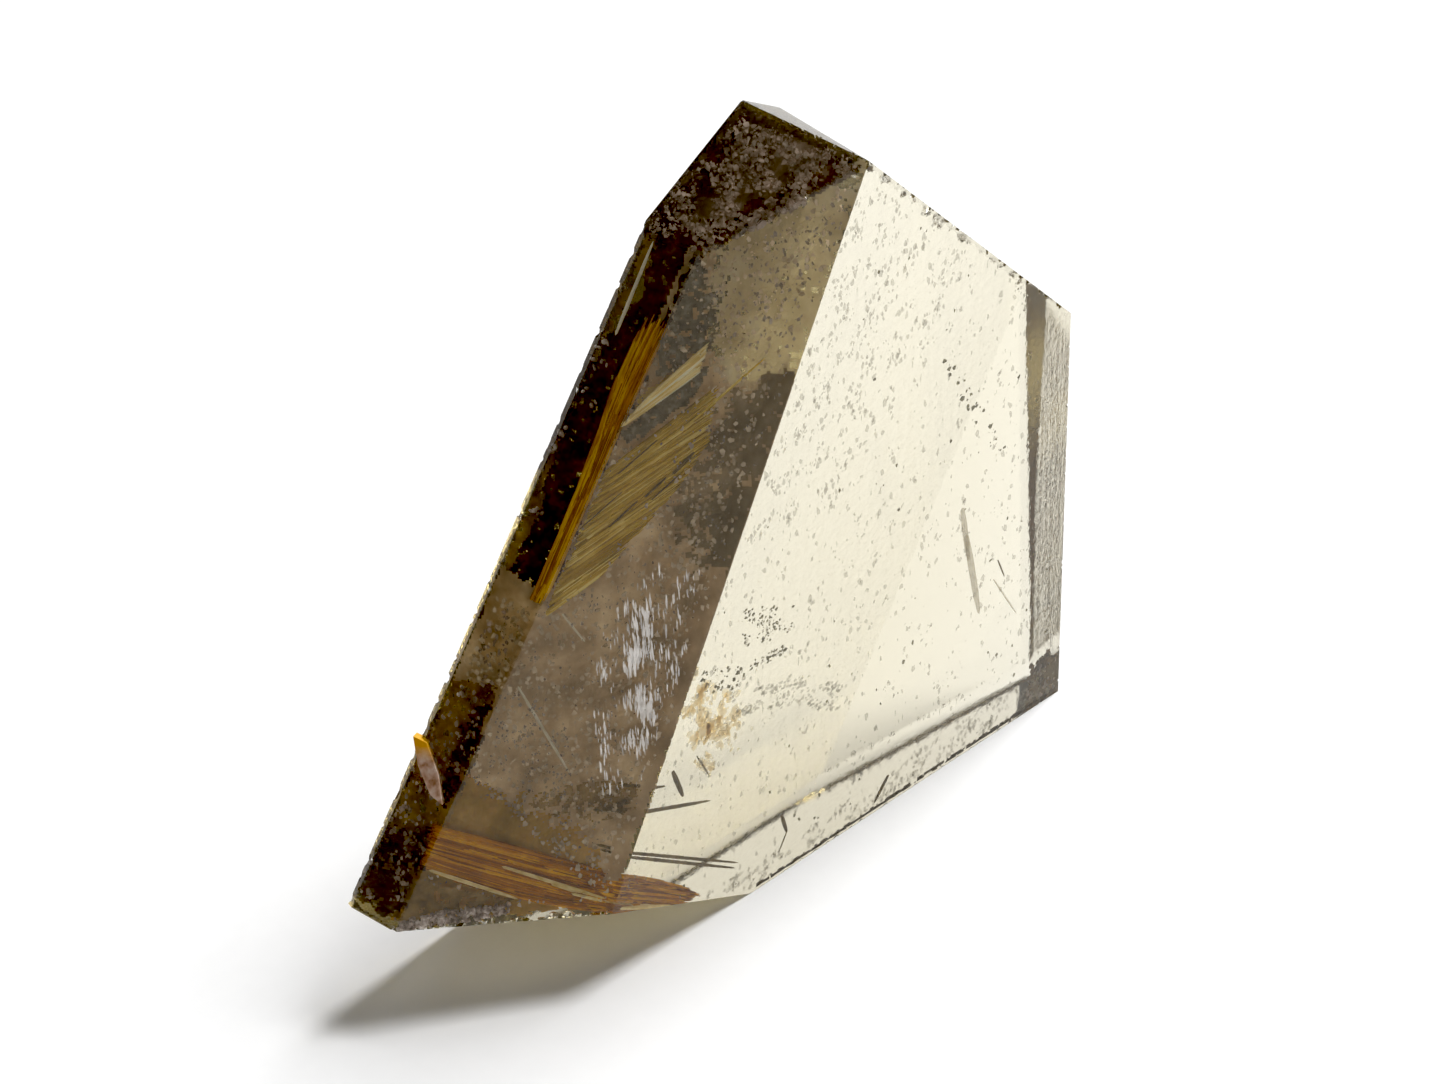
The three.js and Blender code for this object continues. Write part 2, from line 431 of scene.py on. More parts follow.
# Lines of points under a face, across it and up its slope.
STEEP_BORDERS = (
    [(-6.7e-3, -1.6e-3), (-6.1e-3, -0.3e-3), (-5.5e-3, 2.4e-3), (-4.7e-3, 4.2e-3), (-4.2e-3, 6.5e-3),
     (-4.1e-3, 8.0e-3), (-3.5e-3, 10.1e-3), (-2.5e-3, 13.0e-3)],
    [(-6.2e-3, -1.7e-3), (-5.8e-3, -0.7e-3), (-5.2e-3, 1.4e-3), (-4.3e-3, 4.2e-3), (-3.6e-3, 6.4e-3),
     (-2.9e-3, 8.6e-3), (-2.2e-3, 10.8e-3), (-1.3e-3, 13.2e-3)],
)
FAN_START = [(-6.2e-3, 7.3e-3), (-7.0e-3, 5.6e-3), (-7.9e-3, 3.7e-3), (-8.9e-3, 1.7e-3), (-9.5e-3, 0.2e-3)]
FAN_END = [(-0.5e-3, 11.0e-3), (-0.9e-3, 9.2e-3), (-1.1e-3, 8.2e-3), (-2.4e-3, 6.3e-3), (-4.6e-3, 4.0e-3),
           (-6.6e-3, 2.0e-3)]
FAN_BED = [(-6.1e-3, 7.0e-3), (-3.8e-3, 8.4e-3), (-2.6e-3, 8.7e-3), (-3.0e-3, 7.0e-3), (-5.0e-3, 4.6e-3),
           (-7.0e-3, 2.2e-3), (-9.2e-3, 0.5e-3), (-8.6e-3, 2.0e-3)]
LOW_BED = [(-13.8e-3, -7.8e-3), (-11.6e-3, -11.0e-3), (-7.6e-3, -15.8e-3), (-12.0e-3, -15.2e-3), (-16.6e-3, -12.3e-3)]
PATCH_START = [(-4.3e-3, 10.6e-3), (-5.3e-3, 9.6e-3)]
PATCH_END = [(-0.9e-3, 13.3e-3), (-1.4e-3, 11.9e-3)]
PATCH_BED = [(-4.2e-3, 10.9e-3), (-0.9e-3, 13.1e-3), (-1.4e-3, 12.0e-3), (-4.9e-3, 9.7e-3)]
LOW_BORDERS = (
    [Vector((-17.2e-3, 1.3e-3, 11.0e-3)), Vector((-15.8e-3, 0.4e-3, 10.2e-3)), Vector((-14.1e-3, -0.9e-3, 9.1e-3)),
     Vector((-12.6e-3, -2.0e-3, 8.2e-3)), Vector((-11.0e-3, -3.1e-3, 7.3e-3)), Vector((-8.6e-3, -3.8e-3, 5.5e-3)),
     Vector((-6.2e-3, -3.8e-3, 3.5e-3)), Vector((-4.5e-3, -3.8e-3, 1.6e-3))],
    [Vector((-18.2e-3, 1.4e-3, 8.9e-3)), Vector((-17.0e-3, 0.5e-3, 7.8e-3)), Vector((-15.2e-3, -0.8e-3, 6.7e-3)),
     Vector((-13.6e-3, -2.0e-3, 5.8e-3)), Vector((-12.0e-3, -3.1e-3, 5.1e-3)), Vector((-10.2e-3, -3.8e-3, 4.3e-3)),
     Vector((-8.4e-3, -3.8e-3, 3.1e-3)), Vector((-6.4e-3, -3.8e-3, 2.0e-3))],
)
SHEAF_DEPTH = 0.35e-3


def on_lines(face, points, depth=SHEAF_DEPTH):
    return [under_face(face, across, up, depth) for across, up in points]


def make_sheaves():
    draw = random.Random(3)
    gold = streaky_material(
        "rutile gold",
        [(0.0, (0.06, 0.02, 0.001)), (0.3, (0.36, 0.14, 0.002)), (0.55, (0.62, 0.28, 0.004)), (0.9, (0.95, 0.6, 0.04))],
    )
    tan = streaky_material(
        "rutile tan",
        [(0.0, (0.14, 0.07, 0.01)), (0.3, (0.48, 0.28, 0.03)), (0.6, (0.72, 0.48, 0.07)), (0.9, (1.0, 0.82, 0.3))],
    )
    steep = bmesh.new()
    borders = [on_lines("leftEdge", line) for line in STEEP_BORDERS]
    add_band(steep, borders, face_normal("leftEdge"), 700, 0.11e-3, 0.4e-3, draw, 0.1, 0.35)
    add_piece("rutile_steep_needles", steep, gold, ["rutile_steep_sheaf"])
    fan = bmesh.new()
    outward = face_normal("leftFront")
    add_bundle(fan, on_lines("leftFront", FAN_START), on_lines("leftFront", FAN_END), outward, 800,
               0.12e-3, 0.4e-3, draw, 0.4, 0.7)
    add_needle(fan, *on_lines("leftFront", [(-2.4e-3, 9.0e-3), (1.7e-3, 12.1e-3)]), 0.14e-3, outward)
    add_sheet(fan, "leftFront", FAN_BED, 0.75e-3, 0.25, 0.4)
    add_sheet(fan, "leftFront", PATCH_BED, 0.7e-3, 0.2, 0.5)
    add_piece("rutile_fan_needles", fan, tan, ["rutile_fan"])
    patch = bmesh.new()
    straw = streaky_material(
        "rutile straw",
        [(0.0, (0.3, 0.2, 0.06)), (0.3, (0.8, 0.58, 0.2)), (0.6, (1.0, 0.84, 0.42)), (0.9, (1.0, 0.96, 0.75))],
    )
    add_bundle(patch, on_lines("leftFront", PATCH_START, 0.15e-3), on_lines("leftFront", PATCH_END, 0.15e-3), outward,
               300, 0.13e-3, 0.2e-3, draw)
    add_piece("rutile_straw_needles", patch, straw)
    low = bmesh.new()
    outward = (face_normal("leftFront") + face_normal("front")).normalized()
    amber = streaky_material(
        "rutile amber",
        [(0.0, (0.05, 0.015, 0.001)), (0.3, (0.32, 0.1, 0.001)), (0.6, (0.58, 0.21, 0.001)), (0.9, (0.95, 0.52, 0.01))],
    )
    add_band(low, LOW_BORDERS, outward, 1500, 0.14e-3, 0.4e-3, draw, 0.15, 0.5, 1.5)
    add_piece("rutile_low_needles", low, amber, ["rutile_low_sheaf"])


# The heights between which the flake turns from pink to orange.
FLAKE_TIP = (14.2e-3, 14.9e-3)


def flake_material():
    """Pink and cracked, orange at its upper tip."""
    material, tree, shader, _ = new_material("pink flake")
    mottle = add_noise(tree, 2600, 6)
    body = add_ramp(tree, mottle, [(0.3, (0.45, 0.2, 0.1)), (0.5, (0.75, 0.5, 0.38)), (0.7, (0.95, 0.8, 0.7))])
    parts = tree.nodes.new("ShaderNodeSeparateXYZ")
    tree.links.new(tree.nodes.new("ShaderNodeTexCoord").outputs["Object"], parts.inputs["Vector"])
    rise = tree.nodes.new("ShaderNodeMapRange")
    rise.inputs["From Min"].default_value, rise.inputs["From Max"].default_value = FLAKE_TIP
    tree.links.new(parts.outputs["Z"], rise.inputs["Value"])
    blend = tree.nodes.new("ShaderNodeMix")
    blend.data_type = "RGBA"
    blend.inputs["B"].default_value = (0.95, 0.5, 0.05, 1)
    tree.links.new(rise.outputs["Result"], blend.inputs["Factor"])
    tree.links.new(body, blend.inputs["A"])
    tree.links.new(blend.outputs["Result"], shader.inputs["Base Color"])
    tree.links.new(add_bump(tree, mottle, 5e-5), shader.inputs["Normal"])
    shader.inputs["Roughness"].default_value = 0.55
    return material


def make_flake():
    """A ragged pink sliver that stands out of the left edge."""
    outline = [(-11.7e-3, -9.3e-3), (-11.0e-3, -9.5e-3), (-10.3e-3, -11.0e-3), (-9.95e-3, -12.5e-3),
               (-10.6e-3, -12.1e-3), (-11.35e-3, -10.7e-3)]
    shape = bmesh.new()
    for depth in (0.5e-3, -0.1e-3):
        rim = [shape.verts.new(under_face("leftEdge", x, y, depth)) for x, y in outline]
        shape.faces.new(rim)
    bmesh.ops.convex_hull(shape, input=shape.verts)
    add_piece("pink_flake_sliver", shape, flake_material(), ["pink_flake"])


def mottled_material(name, scale, colors, roughness=0.5, bump=3e-5, alpha=1.0, shine=0.0):
    """Mottled, partly see-through where its alpha is below 1, and mirroring by the share of its shine."""
    material, tree, shader, _ = new_material(name)
    mottle = add_noise(tree, scale, 6)
    tree.links.new(add_ramp(tree, mottle, colors), shader.inputs["Base Color"])
    tree.links.new(add_bump(tree, mottle, bump), shader.inputs["Normal"])
    shader.inputs["Roughness"].default_value = roughness
    shader.inputs["Specular IOR Level"].default_value = DULL
    shader.inputs["Alpha"].default_value = alpha
    shader.inputs["Metallic"].default_value = shine
    return material


# Films are thin uneven sheets under a face, each inside an outline across the face and up its slope.
UPPER_FILM = [(-2.6e-3, 16.6e-3), (-0.3e-3, 16.2e-3), (-0.7e-3, 14.6e-3), (-1.4e-3, 13.2e-3), (-1.9e-3, 11.9e-3),
              (-2.6e-3, 9.4e-3), (-3.6e-3, 6.4e-3), (-4.3e-3, 4.2e-3), (-5.2e-3, 1.4e-3), (-5.8e-3, -0.7e-3),
              (-6.6e-3, -1.5e-3), (-7.5e-3, -1.2e-3), (-8.0e-3, -0.6e-3), (-7.6e-3, 0.4e-3), (-7.1e-3, 1.8e-3),
              (-6.7e-3, 3.0e-3), (-6.5e-3, 4.4e-3), (-6.3e-3, 5.8e-3), (-6.0e-3, 7.1e-3), (-5.6e-3, 8.6e-3),
              (-5.1e-3, 9.8e-3), (-4.5e-3, 11.0e-3), (-4.0e-3, 12.0e-3), (-3.4e-3, 12.9e-3), (-2.8e-3, 14.1e-3)]
TIP_FILM = [(-13.5e-3, -14.2e-3), (-12.3e-3, -14.3e-3), (-11.5e-3, -14.5e-3), (-10.4e-3, -13.6e-3),
            (-10.6e-3, -15.1e-3), (-11.1e-3, -16.5e-3), (-11.7e-3, -18.6e-3), (-12.2e-3, -19.0e-3),
            (-13.2e-3, -18.6e-3), (-13.9e-3, -17.9e-3), (-13.9e-3, -16.2e-3)]
EDGE_FILM = [(-8.0e-3, -6.8e-3), (-8.5e-3, -9.1e-3), (-9.1e-3, -11.1e-3), (-9.8e-3, -12.8e-3), (-10.3e-3, -12.2e-3),
             (-9.9e-3, -10.6e-3), (-9.6e-3, -9.2e-3), (-9.1e-3, -7.7e-3)]
STRIP_FILM = [(-3.4e-3, 16.7e-3), (-2.3e-3, 16.5e-3), (-3.6e-3, 12.9e-3), (-4.5e-3, 11.0e-3), (-5.6e-3, 8.6e-3),
              (-6.3e-3, 5.8e-3), (-6.6e-3, 2.9e-3), (-7.9e-3, -0.6e-3), (-8.8e-3, -0.4e-3), (-7.4e-3, 4.2e-3),
              (-5.6e-3, 10.1e-3), (-4.2e-3, 13.9e-3)]
LOWER_FILM = [(-9.9e-3, -5.0e-3), (-7.6e-3, -5.2e-3), (-8.2e-3, -7.2e-3), (-8.9e-3, -10.1e-3), (-9.9e-3, -13.2e-3),
              (-11.9e-3, -19.2e-3), (-14.4e-3, -18.2e-3), (-12.8e-3, -12.9e-3), (-11.5e-3, -8.3e-3),
              (-10.6e-3, -6.4e-3)]
FOOT_FILM = [(-16.8e-3, -13.0e-3), (-15.0e-3, -14.0e-3), (-12.1e-3, -15.2e-3), (-12.6e-3, -15.6e-3),
             (-15.8e-3, -15.4e-3), (-17.8e-3, -15.4e-3)]
SMEAR_FILM = [(-11.1e-3, -9.4e-3), (-7.4e-3, -9.2e-3), (-4.9e-3, -10.1e-3), (-5.1e-3, -11.5e-3),
              (-7.6e-3, -11.4e-3), (-10.5e-3, -10.7e-3)]
GAP_FILM = [(-5.3e-3, 9.2e-3), (-4.4e-3, 10.0e-3), (-3.1e-3, 10.8e-3), (-1.6e-3, 11.8e-3), (-1.0e-3, 12.3e-3),
            (-1.1e-3, 11.7e-3), (-1.5e-3, 10.9e-3), (-3.2e-3, 9.6e-3), (-4.2e-3, 9.0e-3), (-5.0e-3, 8.7e-3)]
BUBBLY_FILM = [(-1.3e-3, 17.3e-3), (-0.5e-3, 15.8e-3), (-0.7e-3, 13.1e-3), (-1.6e-3, 12.4e-3), (-3.3e-3, 11.8e-3),
               (-3.5e-3, 13.0e-3), (-2.6e-3, 14.6e-3)]
TIP_RIM = [(-14.6e-3, -17.9e-3), (-14.2e-3, -18.1e-3), (-13.5e-3, -18.7e-3), (-12.6e-3, -19.1e-3),
           (-11.8e-3, -19.4e-3), (-12.2e-3, -19.5e-3), (-13.2e-3, -19.2e-3), (-14.1e-3, -18.6e-3)]
# A dark strip along the foot of the front face: painted contact shade where the crystal meets the floor.
PAINTED_CONTACT_SHADE = [(-1.2e-3, -19.92e-3), (20.9e-3, -19.92e-3), (20.9e-3, -19.6e-3), (-1.2e-3, -19.65e-3)]
CROWN_RIM = [(-3.3e-3, 12.0e-3), (0.6e-3, 18.25e-3), (6.3e-3, 16.2e-3), (6.1e-3, 15.95e-3), (0.8e-3, 17.9e-3),
             (-3.0e-3, 11.9e-3)]
LEFT_RIM = [(-3.5e-3, 16.6e-3), (-14.7e-3, -18.4e-3), (-14.0e-3, -18.4e-3), (-2.9e-3, 16.3e-3)]
WIDE_CLOUD = [(-0.2e-3, 18.2e-3), (-0.6e-3, 15.6e-3), (-0.9e-3, 13.0e-3), (0.2e-3, 10.9e-3), (3.4e-3, 10.7e-3),
              (-6.8e-3, -14.8e-3), (-7.6e-3, -15.2e-3), (-11.4e-3, -10.8e-3), (-14.2e-3, -7.4e-3),
              (-1.4e-3, 17.7e-3)]
TAN_CLOUD = [(7.0e-3, 21.3e-3), (-0.2e-3, 18.1e-3), (-0.6e-3, 15.6e-3), (-0.9e-3, 13.0e-3), (0.0e-3, 10.6e-3),
             (3.2e-3, 10.4e-3)]
BROWN_CLOUD = [(5.1e-3, 11.6e-3), (1.4e-3, 11.2e-3), (0.2e-3, 9.8e-3), (-1.2e-3, 8.0e-3), (-2.6e-3, 5.5e-3),
               (-2.9e-3, 3.0e-3), (-2.0e-3, 1.5e-3), (1.4e-3, 1.0e-3)]
AMBER_CLOUD = [(-14.2e-3, -8.2e-3), (-8.0e-3, -12.4e-3), (-7.7e-3, -16.4e-3), (-17.8e-3, -15.5e-3)]
FOOT_CLOUD = [(-14.3e-3, -7.6e-3), (-11.4e-3, -10.4e-3), (-7.2e-3, -15.0e-3), (-7.7e-3, -16.6e-3), (-17.9e-3, -15.6e-3)]
CROWN_CLOUD = [(0.7e-3, 18.3e-3), (6.5e-3, 16.1e-3), (-0.5e-3, 11.3e-3), (-3.3e-3, 12.1e-3)]
CROWN_SEAM = [(-3.3e-3, 12.0e-3), (-0.5e-3, 11.3e-3), (6.6e-3, 16.1e-3), (5.4e-3, 16.5e-3), (2.4e-3, 14.3e-3),
              (-0.4e-3, 12.3e-3), (-2.5e-3, 12.9e-3)]
CROWN_EDGE = [(-3.3e-3, 12.1e-3), (0.5e-3, 18.2e-3), (1.3e-3, 17.8e-3), (-0.3e-3, 14.9e-3), (-2.3e-3, 12.1e-3)]
EDGE_CLOUD = [(-9.1e-3, 0.6e-3), (-8.2e-3, -0.2e-3), (-6.1e-3, -1.2e-3), (-7.5e-3, -6.2e-3), (-10.8e-3, -6.4e-3)]
CLOUD_CELL = 0.15e-3
CURL_TOP = 0.14e-3
CURL_SLOPE = 1.6
CURL_DEPTH = 1.0e-3
FILM_CELL = 0.1e-3
FILM_THICKNESS = 0.04e-3


def curl_up(face, across, up, sink, share, neighbour):
    """A point of a sheet that rises towards the edge between its face and a neighbour, and ends along that edge."""
    gap = FACES[neighbour][2] - NORMALS[neighbour].dot(under_face(face, across, up, 0) - HEART)
    point = under_face(face, across, up, min(sink, share * (CURL_TOP + CURL_SLOPE * max(gap, 0))))
    excess = NORMALS[neighbour].dot(point - HEART) - FACES[neighbour][2] + CURL_TOP * 0.7
    level = NORMALS[neighbour] - NORMALS[face] * NORMALS[neighbour].dot(NORMALS[face])
    return point - level * (max(excess, 0) / level.dot(level))


def add_sheet(shape, face, outline, depth, ragged, holes, cell=FILM_CELL, curl=None):
    """A thin uneven sheet inside an outline, which can curl up towards a neighbouring face.

    Ragged is in millimetres; holes open where a noise is above its value.
    """
    xs, ys = [p[0] for p in outline], [p[1] for p in outline]
    columns = range(math.floor(min(xs) / cell), math.ceil(max(xs) / cell))
    rows = range(math.floor(min(ys) / cell), math.ceil(max(ys) / cell))
    made = {}

    def corner(i, j):
        if (i, j) not in made:
            spot = Vector((i * cell, j * cell, depth))
            sink = depth + noise.noise(spot * 2500) * 0.1e-3
            if curl:
                made[i, j] = shape.verts.new(curl_up(face, spot.x, spot.y, sink, depth / CURL_DEPTH, curl))
            else:
                made[i, j] = shape.verts.new(under_face(face, spot.x, spot.y, sink))
        return made[i, j]

    sheet = []
    for i in columns:
        for j in rows:
            spot = Vector(((i + 0.5) * cell, (j + 0.5) * cell, depth))
            tear = (noise.noise_vector(spot * 1500) + noise.noise_vector(spot * 4500) * 0.6) * ragged * 1e-3
            if not is_inside(outline, spot.x + tear.x, spot.y + tear.y) or noise.noise(spot * 3000) > holes:
                continue
            buried = CURL_TOP if curl else min(depth, 0.15e-3)
            skin = CURL_TOP * 0.7 - cell * 0.25 if curl else buried * 0.7
            if is_buried([under_face(face, spot.x, spot.y, buried)], skin):
                sheet.append(shape.faces.new((corner(i, j), corner(i + 1, j), corner(i + 1, j + 1), corner(i, j + 1))))
    bmesh.ops.solidify(shape, geom=sheet, thickness=FILM_THICKNESS)


def make_films():
    dark = mottled_material(
        "dark film", 1300,
        [(0.3, (0.035, 0.01, 0.004)), (0.55, (0.09, 0.03, 0.01)), (0.75, (0.25, 0.13, 0.03))], 0.4,
    )
    brown = mottled_material(
        "brown film", 900, [(0.3, (0.08, 0.04, 0.008)), (0.5, (0.38, 0.23, 0.06)), (0.75, (0.7, 0.5, 0.22))], 0.5,
        alpha=0.8,
    )
    # Dark outline rims; along the foot of the front face this material is painted contact shade.
    rim = mottled_material("edge rim and painted contact shade", 1500, [(0.3, (0.03, 0.02, 0.01)), (0.7, (0.2, 0.14, 0.08))], 0.5)
    grey = mottled_material(
        "grey film", 2000, [(0.3, (0.14, 0.11, 0.08)), (0.55, (0.3, 0.25, 0.17)), (0.8, (0.7, 0.65, 0.55))], 0.5,
    )
    crown = mottled_material(
        "crown cloud", 600, [(0.3, (0.08, 0.055, 0.04)), (0.5, (0.24, 0.18, 0.14)), (0.7, (0.5, 0.41, 0.35))], 0.5,
    )
    wide = mottled_material(
        "mauve cloud", 500, [(0.3, (0.48, 0.36, 0.23)), (0.5, (0.72, 0.56, 0.38)), (0.7, (0.98, 0.83, 0.62))], 0.5,
    )
    sand = mottled_material(
        "tan cloud", 500, [(0.3, (0.72, 0.57, 0.34)), (0.5, (0.95, 0.8, 0.52)), (0.7, (1.0, 0.92, 0.75))], 0.5, alpha=0.6,
    )
    earth = mottled_material(
        "brown cloud", 500, [(0.3, (0.27, 0.19, 0.1)), (0.5, (0.43, 0.33, 0.19)), (0.7, (0.63, 0.5, 0.32))], 0.5,
    )
    honey = mottled_material(
        "amber cloud", 400, [(0.3, (0.42, 0.24, 0.03)), (0.5, (0.66, 0.41, 0.08)), (0.7, (0.9, 0.62, 0.22))], 0.5,
    )
    pieces = [
        ("crown_cloud", crown, [("topLeft", CROWN_CLOUD, 0.8e-3, 0.1, 1, CLOUD_CELL)]),
        ("mauve_cloud", wide, [
            ("leftFront", WIDE_CLOUD, 1.0e-3, 0.1, 1, CLOUD_CELL, "front"),
            ("leftEdge", EDGE_CLOUD, 0.6e-3, 0.5, 0.6),
        ]),
        ("tan_cloud", sand, [("leftFront", TAN_CLOUD, 0.88e-3, 1.4, 0.6, CLOUD_CELL, "front")]),
        ("brown_cloud", earth, [("leftFront", BROWN_CLOUD, 0.85e-3, 1.2, 0.4, CLOUD_CELL, "front")]),
        ("amber_cloud", honey, [
            ("leftFront", AMBER_CLOUD, 0.92e-3, 1.0, 0.6, CLOUD_CELL),
            ("leftFront", FOOT_CLOUD, 1.05e-3, 0.2, 1, CLOUD_CELL),
        ]),
        ("dark_films", dark, [
            ("topLeft", CROWN_SEAM, 0.3e-3, 0.4, 0.25),
            ("topLeft", CROWN_EDGE, 0.3e-3, 0.5, 0.1),
            ("leftEdge", UPPER_FILM, 0.95e-3, 0.25, 0.45),
            ("leftEdge", TIP_FILM, 0.5e-3, 0.4, 0.35),
            ("leftEdge", EDGE_FILM, 0.4e-3, 0.3, 0.3),
        ]),
        ("brown_films", brown, [
            ("leftEdge", STRIP_FILM, 0.7e-3, 0.3, 0.4),
            ("leftEdge", LOWER_FILM, 0.8e-3, 0.3, 0.35),
            ("leftFront", FOOT_FILM, 0.5e-3, 0.2, 0.3),
            ("leftFront", SMEAR_FILM, 0.6e-3, 0.7, 0.05),
        ]),
        ("edge_rims_and_painted_contact_shade", rim, [
            # Painted contact shade along the foot of the front face.
            ("front", PAINTED_CONTACT_SHADE, 0.1e-3, 0.12, 0.4),
            ("topLeft", CROWN_RIM, 0.1e-3, 0.15, 0.3),
            ("leftEdge", LEFT_RIM, 0.12e-3, 0.25, 0.35),
        ]),
        ("grey_films", grey, [
            ("leftFront", GAP_FILM, 0.3e-3, 0.2, 0.5),
            ("leftFront", BUBBLY_FILM, 0.4e-3, 0.4, 0.3),
            ("leftEdge", TIP_RIM, 0.12e-3, 0.1, 0.6),
        ]),
    ]
    for name, material, sheets in pieces:
        shape = bmesh.new()
        for sheet in sheets:
            add_sheet(shape, *sheet)
        add_piece(name, shape, material)


def add_flake(shape, centre, outward, radius, draw, longer=1.0, tilt=0.5):
    """A thin five-sided plate of uneven outline, nearly flat to the outward direction and longer upwards."""
    lean = Vector([draw.uniform(-tilt, tilt) for _ in range(3)])
    frame = frame_on(centre, (outward + lean).normalized())
    thickness = radius * 0.12
    spread = [(i + draw.random() * 0.7) / 5 * math.tau for i in range(5)]
    reach = [radius * draw.uniform(0.45, 1.0) for _ in range(5)]
    rims = [
        [frame @ Vector((math.cos(a) * r, math.sin(a) * r * longer, height)) for a, r in zip(spread, reach)]
        for height in (-thickness, thickness)
    ]
    if not is_buried(rims[0] + rims[1]):
        return
    lower, upper = [[shape.verts.new(point) for point in rim] for rim in rims]
    shape.faces.new(upper)
    shape.faces.new(lower[::-1])
    for i in range(5):
        shape.faces.new((lower[i - 1], lower[i], upper[i], upper[i - 1]))


def is_inside(polygon, x, y):
    crossings = 0
    for (x0, y0), (x1, y1) in zip(polygon, polygon[1:] + polygon[:1]):
        if (y0 > y) != (y1 > y) and x < x0 + (x1 - x0) * (y - y0) / (y1 - y0):
            crossings += 1
    return crossings % 2 == 1


def scatter(shape, face, polygon, count, radius, depth, draw, longer=1.0, clump=0.0, tilt=0.5, gaps=()):
    """Flakes under a face inside an outline, but not in the gaps. Clump gathers them where a noise is high."""
    xs, ys = [p[0] for p in polygon], [p[1] for p in polygon]
    placed = 0
    for _ in range(count * 60):
        x, y = draw.uniform(min(xs), max(xs)), draw.uniform(min(ys), max(ys))
        if not is_inside(polygon, x, y) or any(is_inside(gap, x, y) for gap in gaps):
            continue
        if clump and noise.noise(Vector((x, y, 0)) * 900) < draw.uniform(-0.3, clump):
            continue
        centre = under_face(face, x, y, draw.uniform(*depth))
        add_flake(shape, centre, face_normal(face), radius * draw.uniform(0.4, 1.3) ** 2, draw, longer, tilt)
        placed += 1
        if placed == count:
            return


FRONT_OUTLINE = [(5.2e-3, 21.3e-3), (19.7e-3, 5.9e-3), (20.8e-3, -19.6e-3), (-1.6e-3, -19.6e-3), (-10.6e-3, -15.0e-3)]
FRONT_FOOT = [(-5.0e-3, -18.2e-3), (-1.4e-3, -19.8e-3), (20.8e-3, -19.8e-3), (20.8e-3, -17.6e-3)]
FRONT_TOP_LEFT = [(5.2e-3, 21.3e-3), (13.0e-3, 12.8e-3), (4.0e-3, 3.0e-3), (-2.0e-3, 3.0e-3)]
LEFT_FRONT_OUTLINE = [(-1.5e-3, 17.0e-3), (6.2e-3, 20.4e-3), (-7.5e-3, -16.0e-3), (-17.4e-3, -15.0e-3)]
TOP_LEFT_OUTLINE = [(0.8e-3, 18.1e-3), (6.4e-3, 16.1e-3), (-0.6e-3, 11.3e-3), (-3.3e-3, 12.1e-3)]
TOP_SEAM = [(-1.1e-3, 17.3e-3), (-0.4e-3, 18.0e-3), (1.7e-3, 18.7e-3), (4.1e-3, 19.7e-3), (2.7e-3, 20.2e-3),
            (0.8e-3, 19.4e-3)]
TOP_BAND = [(6.4e-3, 20.0e-3), (2.0e-3, 18.6e-3), (-0.8e-3, 16.8e-3), (-0.6e-3, 13.0e-3), (3.0e-3, 12.5e-3)]
CORNER_BAND = [(17.9e-3, -16.9e-3), (20.9e-3, -16.6e-3), (20.9e-3, -17.4e-3), (18.3e-3, -17.7e-3)]
CORNER = [(18.0e-3, -17.2e-3), (20.9e-3, -17.0e-3), (20.9e-3, -19.8e-3), (19.0e-3, -19.8e-3)]
SMUDGE = [(-3.2e-3, -5.2e-3), (-0.6e-3, -6.4e-3), (2.2e-3, -7.4e-3), (5.0e-3, -9.8e-3), (4.4e-3, -11.2e-3),
          (1.2e-3, -8.8e-3), (-2.6e-3, -7.2e-3)]
EDGE_GAP = [(-8.2e-3, -1.6e-3), (-6.4e-3, -2.0e-3), (-7.6e-3, -6.2e-3), (-9.6e-3, -6.0e-3)]
LEFT_EDGE_LOWER = [(-8.2e-3, -2.0e-3), (-6.8e-3, -2.2e-3), (-11.9e-3, -19.0e-3), (-14.2e-3, -18.0e-3)]
GRAIN_TRAIL = [(11.0e-3, 7.6e-3), (11.8e-3, 7.4e-3), (15.9e-3, -0.4e-3), (15.2e-3, -0.8e-3)]
GRAIN_CLUSTER = [(-3.5e-3, 0.3e-3), (1.2e-3, -2.2e-3), (0.9e-3, -5.0e-3), (-1.6e-3, -4.8e-3), (-2.4e-3, -2.2e-3)]
GRAIN_FOOT = [(-5.0e-3, -2.9e-3), (-2.2e-3, -4.0e-3), (-2.6e-3, -5.5e-3), (-4.7e-3, -4.3e-3)]
BROWN_VEIL = [(-5.2e-3, -2.6e-3), (-3.6e-3, -5.0e-3), (-2.2e-3, -6.0e-3), (-2.4e-3, -9.8e-3), (-4.2e-3, -8.1e-3),
              (-4.0e-3, -10.6e-3), (-5.2e-3, -9.0e-3), (-5.6e-3, -6.6e-3), (-6.3e-3, -4.9e-3)]
# Outlines of the pale growth streaks, whose near-white tone is a painted glint of light catching them.
PAINTED_GLINT_STREAKS = [(-6.9e-3, -0.4e-3), (-3.8e-3, 2.3e-3), (-1.9e-3, 1.5e-3), (-2.6e-3, -2.2e-3), (-4.3e-3, -6.3e-3),
                (-5.6e-3, -10.0e-3), (-7.4e-3, -9.7e-3), (-7.6e-3, -4.6e-3)]
PAINTED_GLINT_CORE = [(-5.6e-3, 0.4e-3), (-4.4e-3, 0.6e-3), (-4.6e-3, -6.0e-3), (-5.6e-3, -8.8e-3), (-6.2e-3, -6.0e-3)]
PALE_GRAIN = [(-11.9e-3, -3.4e-3), (-9.1e-3, -4.4e-3), (-8.4e-3, -9.0e-3), (-9.5e-3, -9.9e-3), (-13.3e-3, -9.2e-3),
              (-13.7e-3, -7.5e-3)]
